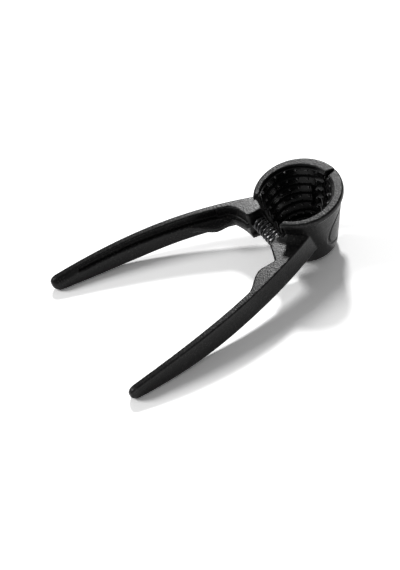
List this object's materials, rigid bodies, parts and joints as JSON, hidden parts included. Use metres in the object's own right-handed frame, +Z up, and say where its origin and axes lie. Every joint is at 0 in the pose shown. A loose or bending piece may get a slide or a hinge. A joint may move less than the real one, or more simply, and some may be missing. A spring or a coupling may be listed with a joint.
{
  "type": "spring-loaded nutcracker",
  "caption": "Spring-loaded hand nutcracker: a split tapered cup with stepped, toothed walls on two long handles that hinge behind it.",
  "frame": {"origin": "on the table, under the middle of the object's box as it stands", "axes": "+X from the hinge and cup to the ends of the handles, +Y towards the near arm, +Z up from the table"},
  "size_m": [0.1688, 0.1012, 0.049],
  "materials": {
    "cast_black": "black non-stick coating, fine satin grain",
    "steel": "bright drawn wire"
  },
  "bodies": {
    "near_arm_body": {"near_arm": "cast_black", "hinge_pin": "steel", "spring": "steel"},
    "far_arm_body": {"far_arm": "cast_black"}
  },
  "joints": [
    {"name": "arm_hinge", "type": "hinge", "parent": "near_arm_body", "child": "far_arm_body", "pos_m": [-0.08018, 0, 0.02662], "axis": [0.1769, 0, 0.9842], "range_deg": [0, 18], "stiffness_Nm_per_rad": 2.4, "springref_deg": -5.73, "deforming": ["spring"]}
  ]
}
